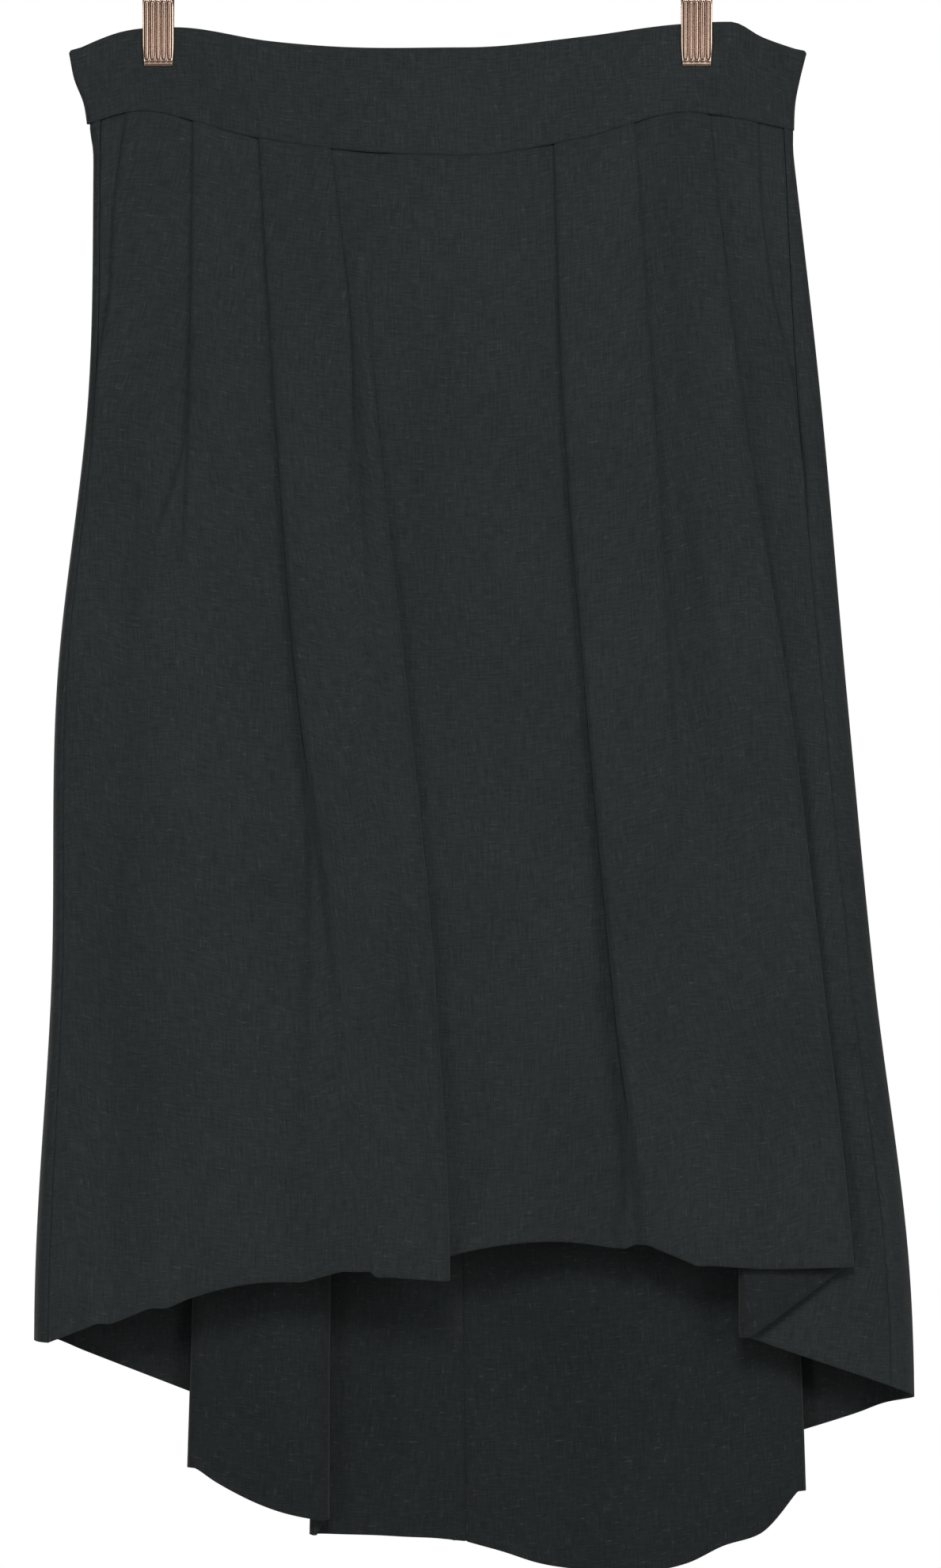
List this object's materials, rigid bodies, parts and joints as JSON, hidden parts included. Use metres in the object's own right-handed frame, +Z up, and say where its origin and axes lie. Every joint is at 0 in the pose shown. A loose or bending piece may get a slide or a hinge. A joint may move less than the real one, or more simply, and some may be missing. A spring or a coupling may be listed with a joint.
{
  "type": "skirt on clip hanger",
  "caption": "Flared high-low skirt with pressed pleats and a shaped waistband, hung flat by its waistband from a metal clip hanger.",
  "frame": {"origin": "top of the inside of the hanger's hook, where it rests on a rail", "axes": "+Z up, +X towards the wearer's left as the front is seen, -Y out of the skirt's front"},
  "size_m": [0.4789, 0.07, 0.9771],
  "materials": {
    "cloth": "matte plain weave with slubs, near-black charcoal",
    "zip_metal": "dark satin",
    "hanger_steel": "polished, faintly warm"
  },
  "bodies": {
    "skirt": {"waistband_front": "cloth", "waistband_back_left": "cloth", "waistband_back_right": "cloth", "front_panel": "cloth", "pocket_facing_left": "cloth", "pocket_facing_right": "cloth", "back_panel_left": "cloth", "back_panel_right": "cloth", "zip_slider": "zip_metal", "hanger_hook": "hanger_steel", "hanger_bar": "hanger_steel", "clip_left_front": "hanger_steel", "clip_left_back": "hanger_steel", "clip_left_spring": "hanger_steel", "clip_right_front": "hanger_steel", "clip_right_back": "hanger_steel", "clip_right_spring": "hanger_steel"},
    "zip_pull": {"zip_pull": "zip_metal"}
  },
  "joints": [
    {"name": "zip_pull_swing", "type": "hinge", "parent": "skirt", "child": "zip_pull", "pos_m": [0.006, 0.0054, -0.15], "axis": [1, 0, 0], "range_deg": [0, 170]}
  ]
}
